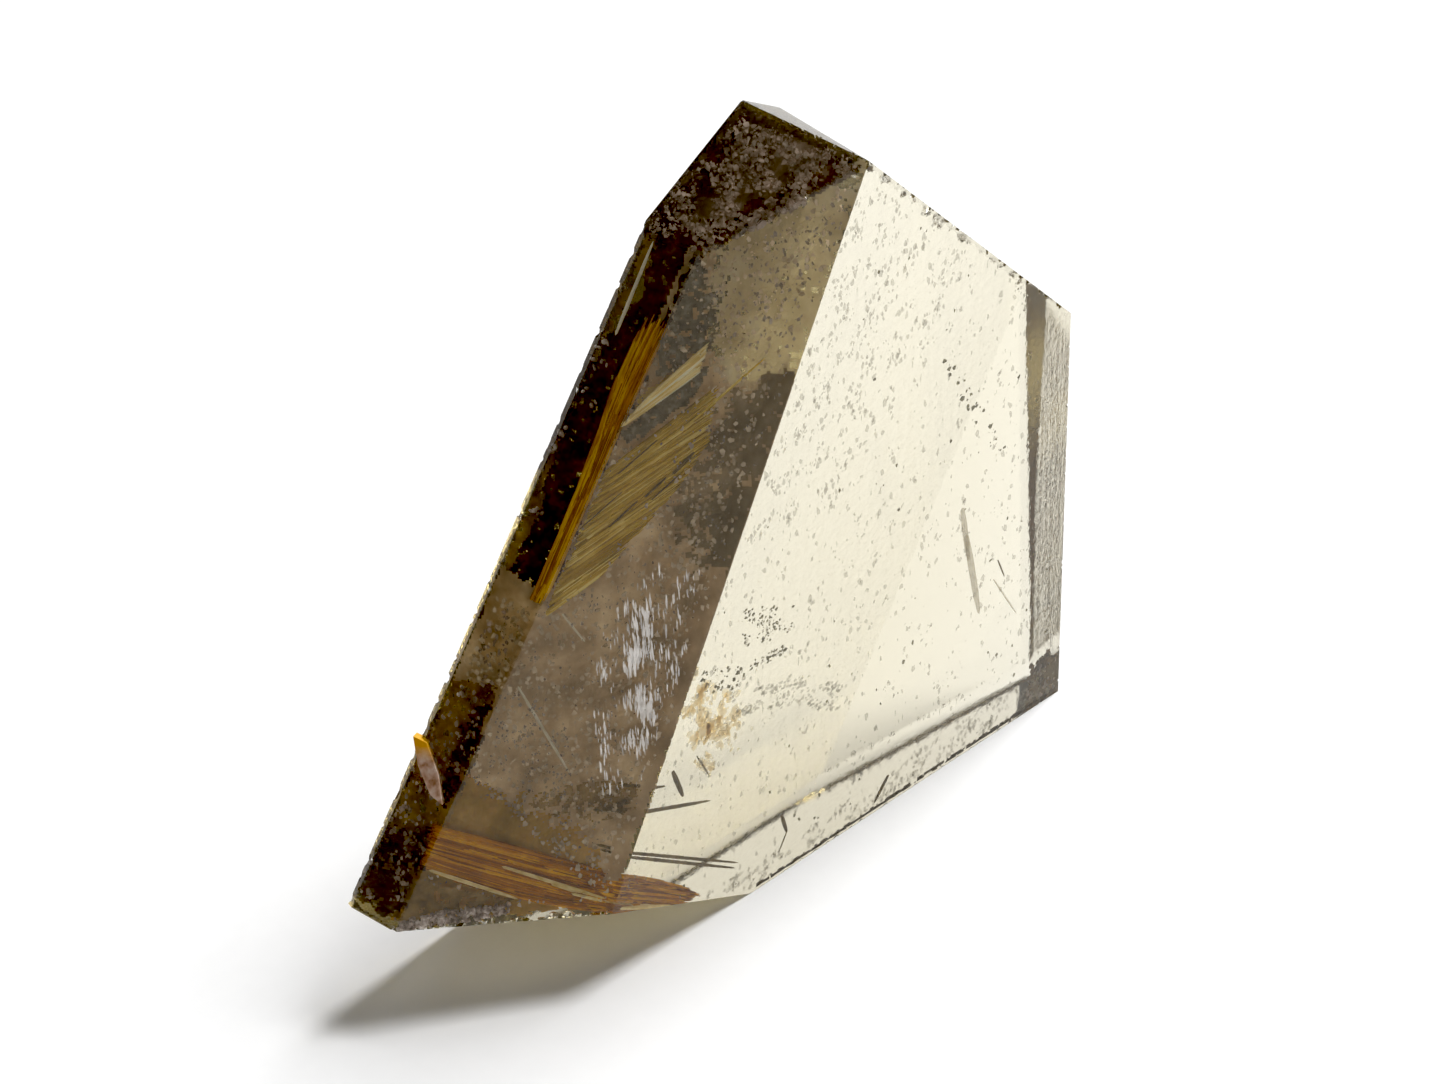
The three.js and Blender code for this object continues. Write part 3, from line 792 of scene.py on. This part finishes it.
SIDE_OUTLINE = [(-4.2e-3, 6.0e-3), (-1.6e-3, 6.0e-3), (-1.6e-3, -19.0e-3), (-4.2e-3, -19.0e-3)]
FROSTED_EDGE = [(-18.0e-3, -15.8e-3), (-17.6e-3, -15.3e-3), (-15.6e-3, -15.1e-3), (-12.4e-3, -15.3e-3),
                (-12.4e-3, -15.8e-3), (-14.4e-3, -15.9e-3)]


def stain_material(name, color):
    """A see-through stain that hardly bends light."""
    material, tree, shader, _ = new_material(name)
    mottle = add_noise(tree, 1400, 5)
    pale = [1 - (1 - c) * 0.3 for c in color]
    tree.links.new(add_ramp(tree, mottle, [(0.35, color), (0.65, pale)]), shader.inputs["Base Color"])
    shader.inputs["Transmission Weight"].default_value = 1
    shader.inputs["IOR"].default_value = 1.03
    shader.inputs["Roughness"].default_value = 0.3
    return material


def make_specks():
    """Fine grains, veils and pale growth streaks just under the faces, the streaks near-white where painted glints
    stand in for light catching them.
    """
    draw = random.Random(19)
    olive = mottled_material(
        "olive grains", 3000, [(0.3, (0.09, 0.08, 0.03)), (0.7, (0.45, 0.42, 0.24))], 0.6, alpha=0.75
    )
    faint = mottled_material("faint marks", 3000, [(0.3, (0.3, 0.27, 0.17)), (0.7, (0.8, 0.75, 0.6))], 0.6, alpha=0.22)
    mauve = mottled_material("mauve veil", 1200, [(0.3, (0.12, 0.08, 0.06)), (0.7, (0.65, 0.52, 0.44))], 0.5)
    granular = mottled_material("granular veil", 700, [(0.3, (0.38, 0.28, 0.17)), (0.7, (0.95, 0.8, 0.6))], 0.5)
    pinkish = mottled_material("pinkish specks", 1800, [(0.3, (0.2, 0.16, 0.12)), (0.7, (0.5, 0.42, 0.36))], 0.5)
    # Near-white streaks with a metallic shine; their pale tone is painted glint where growth striations catch the
    # light.
    pale = mottled_material("growth streaks with painted glints", 2200, [(0.3, (0.8, 0.76, 0.72)), (0.6, (1.0, 0.97, 0.95))], 0.35, shine=0.6)
    brown = stain_material("brown veil", (0.8, 0.71, 0.54))
    black = mottled_material("corner grains", 1500, [(0.3, (0.02, 0.015, 0.008)), (0.7, (0.3, 0.2, 0.1))], 0.5)
    marks = bmesh.new()
    scatter(marks, "front", FRONT_OUTLINE, 1900, 0.11e-3, (0.05e-3, 0.3e-3), draw, 1.8, 0.25)
    scatter(marks, "front", FRONT_TOP_LEFT, 700, 0.11e-3, (0.05e-3, 0.3e-3), draw, 1.8, 0.2)
    scatter(marks, "front", FRONT_OUTLINE, 220, 0.04e-3, (0.05e-3, 0.2e-3), draw, 6.0, 0.0, 0.1)
    scatter(marks, "front", FRONT_FOOT, 800, 0.12e-3, (0.05e-3, 0.4e-3), draw, 1.6, 0.2)
    scatter(marks, "front", SMUDGE, 420, 0.13e-3, (0.05e-3, 0.4e-3), draw, 0.8, 0.3)
    add_piece("faint_marks", marks, faint)
    grains = bmesh.new()
    scatter(grains, "front", FRONT_OUTLINE, 130, 0.09e-3, (0.05e-3, 0.3e-3), draw, 1.4, 0.35)
    scatter(grains, "front", GRAIN_TRAIL, 50, 0.14e-3, (0.05e-3, 0.4e-3), draw)
    scatter(grains, "front", GRAIN_CLUSTER, 220, 0.09e-3, (0.05e-3, 0.5e-3), draw, 1.0, 0.2)
    scatter(grains, "front", GRAIN_FOOT, 70, 0.12e-3, (0.05e-3, 0.5e-3), draw)
    add_piece("olive_grains", grains, olive)
    veil = bmesh.new()
    scatter(veil, "topLeft", TOP_LEFT_OUTLINE, 2600, 0.13e-3, (0.05e-3, 0.6e-3), draw, 1.0, 0.3, 0.9)
    scatter(veil, "leftFront", TOP_SEAM, 200, 0.2e-3, (0.05e-3, 0.5e-3), draw, 1.0, 0.2, 0.9)
    scatter(veil, "leftEdge", LEFT_EDGE_LOWER, 260, 0.12e-3, (0.1e-3, 0.5e-3), draw, 1.3, 0.3, 0.5)
    add_piece("mauve_veil", veil, mauve)
    grain = bmesh.new()
    scatter(grain, "leftFront", LEFT_FRONT_OUTLINE, 2600, 0.12e-3, (0.3e-3, 0.9e-3), draw, 1.2, 0, 0.6,
            [FAN_BED, PATCH_BED, FOOT_FILM, LOW_BED])
    scatter(grain, "leftEdge", EDGE_GAP, 200, 0.12e-3, (0.15e-3, 0.6e-3), draw, 1.2, 0, 0.6)
    add_piece("granular_veil", grain, granular)
    specks = bmesh.new()
    scatter(specks, "topLeft", TOP_LEFT_OUTLINE, 260, 0.1e-3, (0.03e-3, 0.2e-3), draw, 1.2, 0.2, 0.9)
    scatter(specks, "leftFront", LEFT_FRONT_OUTLINE, 900, 0.06e-3, (0.03e-3, 0.3e-3), draw, 1.5, 0.3, 0.9,
            [FAN_BED, PATCH_BED, FOOT_FILM, LOW_BED])
    scatter(specks, "leftFront", TOP_BAND, 300, 0.08e-3, (0.03e-3, 0.3e-3), draw, 1.5, 0, 0.9)
    scatter(specks, "leftFront", PALE_GRAIN, 260, 0.07e-3, (0.03e-3, 0.3e-3), draw, 1.2, 0.2, 0.9)
    scatter(specks, "front", CORNER, 60, 0.14e-3, (0.03e-3, 0.2e-3), draw, 1.5, 0.1, 0.6)
    scatter(specks, "leftEdge", LEFT_EDGE_LOWER, 60, 0.09e-3, (0.03e-3, 0.3e-3), draw, 1.5, 0.2, 0.5)
    add_piece("pinkish_specks", specks, pinkish)
    streaks = bmesh.new()
    scatter(streaks, "leftFront", PAINTED_GLINT_STREAKS, 520, 0.045e-3, (0.03e-3, 0.12e-3), draw, 8.0, 0.3, 0.2)
    scatter(streaks, "leftFront", PAINTED_GLINT_CORE, 360, 0.065e-3, (0.03e-3, 0.12e-3), draw, 9.0, 0.3, 0.2)
    scatter(streaks, "rightSide", SIDE_OUTLINE, 40, 0.05e-3, (0.05e-3, 0.25e-3), draw, 9.0, 0.0, 0.1)
    add_piece("growth_streaks_with_painted_glints", streaks, pale)
    corner = bmesh.new()
    scatter(corner, "front", CORNER_BAND, 130, 0.22e-3, (0.05e-3, 0.4e-3), draw, 1.0, 0.3, 0.8)
    scatter(corner, "front", CORNER, 50, 0.2e-3, (0.1e-3, 0.7e-3), draw, 1.2, 0.1, 0.8)
    add_piece("corner_grains", corner, black)
    patch = bmesh.new()
    scatter(patch, "front", BROWN_VEIL, 400, 0.22e-3, (0.1e-3, 0.6e-3), draw, 1.3, 0.1, 0.5)
    add_piece("brown_veil", patch, brown)


# Small rounded chips with a pale sheen on the left edge face, their pale tones partly painted glints: where they are
# and their radius.
PALE_GLINT_CHIPS = [(-4.5e-3, 11.3e-3, 0.3e-3), (-4.9e-3, 10.4e-3, 0.35e-3), (-4.4e-3, 10.6e-3, 0.25e-3),
              (-5.0e-3, 9.2e-3, 0.3e-3), (-4.6e-3, 8.6e-3, 0.3e-3), (-6.0e-3, 6.8e-3, 0.3e-3),
              (-6.5e-3, 5.9e-3, 0.35e-3), (-6.9e-3, 5.1e-3, 0.3e-3), (-7.1e-3, 2.7e-3, 0.3e-3),
              (-6.7e-3, 2.6e-3, 0.3e-3), (-7.8e-3, -3.8e-3, 0.2e-3), (-9.9e-3, -6.7e-3, 0.25e-3),
              (-9.4e-3, -6.4e-3, 0.2e-3), (-12.0e-3, -13.1e-3, 0.3e-3), (-11.5e-3, -13.9e-3, 0.3e-3),
              (-11.8e-3, -15.2e-3, 0.35e-3), (-11.4e-3, -15.6e-3, 0.25e-3), (-13.9e-3, -17.6e-3, 0.3e-3)]


def make_chips():
    draw = random.Random(5)
    # The chips' pale tones on the left edge are partly painted glints; the frosted band at the lower tip uses the same
    # material.
    pearly = mottled_material(
        "frosted chips and painted glints", 2400, [(0.3, (0.1, 0.07, 0.06)), (0.5, (0.45, 0.36, 0.32)), (0.7, (0.95, 0.87, 0.82))], 0.3,
        shine=0.6,
    )
    chips = bmesh.new()
    for x, y, radius in PALE_GLINT_CHIPS:
        for _ in range(3):
            x0, y0 = x + draw.uniform(-0.2, 1.4) * radius, y + draw.uniform(-1, 1) * radius
            spot = under_face("leftEdge", x0, y0, radius * 0.7)
            if is_buried([spot], radius * 0.4):
                add_lump(chips, spot, [radius * draw.uniform(0.2, 0.6) for _ in range(3)], draw)
    xs, ys = [p[0] for p in FROSTED_EDGE], [p[1] for p in FROSTED_EDGE]
    for _ in range(300):
        x, y = draw.uniform(min(xs), max(xs)), draw.uniform(min(ys), max(ys))
        if is_inside(FROSTED_EDGE, x, y):
            add_lump(chips, under_face("leftFront", x, y, 0.25e-3), [draw.uniform(0.05e-3, 0.2e-3) for _ in range(3)], draw)
    add_piece("frosted_chips_and_painted_glints", chips, pearly)


# Single needles: where each begins and ends, and its width.
DARK_NEEDLES = [
    (Vector((-9.2e-3, -3.0e-3, 11.7e-3)), Vector((-7.2e-3, -3.9e-3, 11.0e-3)), 0.2e-3),
    (Vector((-10.6e-3, -2.5e-3, 10.6e-3)), Vector((-4.2e-3, -3.9e-3, 8.1e-3)), 0.26e-3),
    (Vector((-10.8e-3, -2.9e-3, 8.7e-3)), Vector((-2.3e-3, -3.9e-3, 2.5e-3)), 0.2e-3),
    (Vector((-10.6e-3, -3.0e-3, 8.3e-3)), Vector((-2.5e-3, -3.9e-3, 2.25e-3)), 0.2e-3),
]
# Pale needles under a face: where each begins and ends, and its width. The last one is a painted highlight, a pale line
# standing in for light on a narrow bevel along the left outline.
PALE_NEEDLES_AND_BEVEL_HIGHLIGHT = [
    (("leftFront", -11.1e-3, -3.2e-3), ("leftFront", -8.9e-3, -8.5e-3), 0.16e-3),
    (("leftFront", -8.7e-3, 0.3e-3), ("leftFront", -7.7e-3, -1.4e-3), 0.12e-3),
    # Painted highlight on the narrow bevel along the left outline.
    (("leftEdge", -3.8e-3, 11.8e-3), ("leftEdge", -2.45e-3, 16.5e-3), 0.18e-3),
]
LOW_STREAKS = [
    (Vector((-15.0e-3, -0.8e-3, 8.4e-3)), Vector((-11.0e-3, -3.9e-3, 5.7e-3)), 0.2e-3),
    (Vector((-13.2e-3, -2.3e-3, 7.1e-3)), Vector((-8.0e-3, -4.1e-3, 3.2e-3)), 0.28e-3),
    (Vector((-12.4e-3, -2.9e-3, 6.3e-3)), Vector((-7.4e-3, -4.1e-3, 2.9e-3)), 0.2e-3),
    (Vector((-10.4e-3, -4.1e-3, 4.8e-3)), Vector((-7.0e-3, -4.1e-3, 2.7e-3)), 0.24e-3),
    (Vector((-18.0e-3, 1.1e-3, 8.8e-3)), Vector((-14.6e-3, -1.5e-3, 6.4e-3)), 0.22e-3),
]
TAN_NEEDLES = [
    (("front", 12.9e-3, -2.6e-3), ("front", 13.6e-3, -6.5e-3), 0.4e-3),
    (("front", 13.3e-3, -4.6e-3), ("front", 14.6e-3, -10.7e-3), 0.45e-3),
    (("front", 15.5e-3, -8.8e-3), ("front", 17.5e-3, -12.4e-3), 0.1e-3),
]
# Short dark needles that lie along the fan, in a broken line.
FAN_DASHES = [
    (("leftFront", -6.2e-3, 4.5e-3), ("leftFront", -4.7e-3, 5.7e-3), 0.12e-3),
    (("leftFront", -4.4e-3, 5.8e-3), ("leftFront", -3.3e-3, 6.7e-3), 0.14e-3),
    (("leftFront", -3.0e-3, 6.8e-3), ("leftFront", -1.9e-3, 7.8e-3), 0.2e-3),
    (("leftFront", -4.1e-3, 5.6e-3), ("leftFront", -2.6e-3, 6.8e-3), 0.08e-3),
    (("leftFront", -7.6e-3, 4.6e-3), ("leftFront", -5.4e-3, 6.3e-3), 0.07e-3),
    (("leftFront", -5.6e-3, 7.2e-3), ("leftFront", -3.6e-3, 8.7e-3), 0.08e-3),
]
# Fine dark cracks seen in the front: their two ends and their width.
CRACKS = [
    ((-6.8e-3, -8.2e-3), (-6.1e-3, -10.4e-3), 0.3e-3), ((-5.2e-3, -8.2e-3), (-4.4e-3, -10.0e-3), 0.1e-3),
    ((0.6e-3, -16.0e-3), (1.0e-3, -17.5e-3), 0.25e-3), ((1.0e-3, -17.4e-3), (0.4e-3, -18.6e-3), 0.12e-3),
    ((8.3e-3, -18.1e-3), (7.3e-3, -19.5e-3), 0.3e-3), ((15.8e-3, -7.7e-3), (16.4e-3, -9.2e-3), 0.1e-3),
]


def make_single_needles():
    dark = mottled_material("dark needles", 1500, [(0.3, (0.07, 0.045, 0.012)), (0.7, (0.22, 0.15, 0.05))], 0.4)
    # The pale needle material also gives the painted bevel highlight.
    pale = mottled_material("pale needles and painted highlight", 1500, [(0.3, (0.8, 0.74, 0.55)), (0.7, (1.0, 0.95, 0.8))], 0.4, shine=0.5)
    straw = mottled_material("straw streaks", 1500, [(0.3, (0.7, 0.5, 0.15)), (0.7, (1.0, 0.85, 0.45))], 0.4)
    tan = mottled_material("tan needles", 1500, [(0.3, (0.6, 0.5, 0.28)), (0.7, (0.95, 0.85, 0.6))], 0.4, alpha=0.4)
    for name, needles, material in (("dark_needles", DARK_NEEDLES, dark), ("straw_streaks", LOW_STREAKS, straw)):
        shape = bmesh.new()
        for start, end, width in needles:
            add_needle(shape, start, end, width, face_normal("front"))
        add_piece(name, shape, material)
    for name, needles, material in (
        ("pale_needles_and_painted_highlight", PALE_NEEDLES_AND_BEVEL_HIGHLIGHT, pale), ("tan_needles", TAN_NEEDLES, tan), ("fan_dashes", FAN_DASHES, dark),
    ):
        shape = bmesh.new()
        for start, end, width in needles:
            add_needle(shape, under_face(*start, 0.25e-3), under_face(*end, 0.25e-3), width, face_normal(start[0]))
        add_piece(name, shape, material)
    cracks = bmesh.new()
    for start, end, width in CRACKS:
        add_needle(cracks, under_face("front", *start, 0.3e-3), under_face("front", *end, 0.3e-3), width,
                   face_normal("front"))
    add_piece("cracks", cracks, dark)


def make_floor():
    """Plain white paper."""
    shape = bmesh.new()
    bmesh.ops.create_grid(shape, x_segments=1, y_segments=1, size=1.5)
    mesh = bpy.data.meshes.new("floor")
    shape.to_mesh(mesh)
    shape.free()
    material, tree, shader, _ = new_material("white paper")
    grain = add_noise(tree, 900, 4)
    tree.links.new(
        add_ramp(tree, grain, [(0.0, (0.85, 0.85, 0.85)), (1.0, (0.88, 0.88, 0.88))]), shader.inputs["Base Color"]
    )
    shader.inputs["Roughness"].default_value = 0.9
    mesh.materials.append(material)
    floor = bpy.data.objects.new("floor", mesh)
    bpy.context.collection.objects.link(floor)
    floor.location.z = -2e-5


AWAY = Vector((VIEW.x, VIEW.y, 0)).normalized()
RIGHT = VIEW.cross(UP).normalized()

# Where light comes from: its azimuth from straight away towards the right and its height above level,
# in degrees.
KEY = {"azimuth": 55, "elevation": 63, "distance": 0.7, "size": 0.28, "power": 6.5}

# Soft pale patches of the room: azimuth, elevation, radius and softness in degrees, and level.
ROOM_LEVEL = 0.04
ROOM_COLOR = (1.0, 1.03, 1.1, 1)
PATCH_COLOR = (1.0, 0.99, 0.97, 1)
ROOM_PATCHES = [
    (-4, 42, 9, 14, 0.9),
    (165, 47, 8, 18, 0.7),
    (-135, 30, 12, 18, 0.6),
]


def direction(azimuth, elevation):
    a, e = math.radians(azimuth), math.radians(elevation)
    return (AWAY * math.cos(a) + RIGHT * math.sin(a)) * math.cos(e) + UP * math.sin(e)


def make_key_light():
    towards = direction(KEY["azimuth"], KEY["elevation"])
    data = bpy.data.lights.new("key", "AREA")
    data.size, data.energy = KEY["size"], KEY["power"]
    lamp = bpy.data.objects.new("key", data)
    bpy.context.collection.objects.link(lamp)
    lamp.location = HEART + towards * KEY["distance"]
    lamp.rotation_euler = (-towards).to_track_quat("-Z", "Y").to_euler()


def add_patch(tree, coordinates, azimuth, elevation, radius, softness, level):
    """A round patch of the room: its level inside the radius, fading to nothing over the softness."""
    ahead = tree.nodes.new("ShaderNodeVectorMath")
    ahead.operation = "DOT_PRODUCT"
    ahead.inputs[1].default_value = direction(azimuth, elevation)
    fade = tree.nodes.new("ShaderNodeMapRange")
    fade.interpolation_type = "SMOOTHSTEP"
    fade.inputs["From Min"].default_value = math.cos(math.radians(radius + softness))
    fade.inputs["From Max"].default_value = math.cos(math.radians(radius))
    fade.inputs["To Min"].default_value = 0
    fade.inputs["To Max"].default_value = level
    tree.links.new(coordinates, ahead.inputs[0])
    tree.links.new(ahead.outputs["Value"], fade.inputs["Value"])
    return fade.outputs["Result"]


def make_world():
    """A pale room, brightest behind the crystal and to its right."""
    world = bpy.data.worlds.new("studio")
    bpy.context.scene.world = world
    world.use_nodes = True
    tree = world.node_tree
    tree.nodes.clear()
    walls, patches = tree.nodes.new("ShaderNodeBackground"), tree.nodes.new("ShaderNodeBackground")
    walls.inputs["Color"].default_value, walls.inputs["Strength"].default_value = ROOM_COLOR, ROOM_LEVEL
    patches.inputs["Color"].default_value = PATCH_COLOR
    coordinates = tree.nodes.new("ShaderNodeTexCoord").outputs["Generated"]
    levels = [add_patch(tree, coordinates, *patch) for patch in ROOM_PATCHES]
    total = levels[0]
    for level in levels[1:]:
        add = tree.nodes.new("ShaderNodeMath")
        add.operation = "ADD"
        tree.links.new(total, add.inputs[0])
        tree.links.new(level, add.inputs[1])
        total = add.outputs[0]
    tree.links.new(total, patches.inputs["Strength"])
    both = tree.nodes.new("ShaderNodeAddShader")
    tree.links.new(walls.outputs["Background"], both.inputs[0])
    tree.links.new(patches.outputs["Background"], both.inputs[1])
    output = tree.nodes.new("ShaderNodeOutputWorld")
    tree.links.new(both.outputs["Shader"], output.inputs["Surface"])


BLACK = (0.012, 0.017, 0.026)


def set_light_paths():
    """Enough bounces for light that crosses the crystal many times."""
    scene = bpy.context.scene
    scene.view_settings.view_transform = "Standard"
    scene.view_settings.use_curve_mapping = True
    scene.view_settings.curve_mapping.black_level = BLACK
    scene.view_settings.curve_mapping.update()
    cycles = scene.cycles
    cycles.max_bounces = 18
    cycles.transmission_bounces = 18
    cycles.glossy_bounces = 10
    cycles.diffuse_bounces = 4
    cycles.transparent_max_bounces = 12
    cycles.caustics_refractive = True
    cycles.caustics_reflective = True
    cycles.use_denoising = True


make_camera()
make_floor()
make_world()
make_key_light()
set_light_paths()
make_crystal()
make_sheaves()
make_flake()
make_films()
make_specks()
make_chips()
make_single_needles()
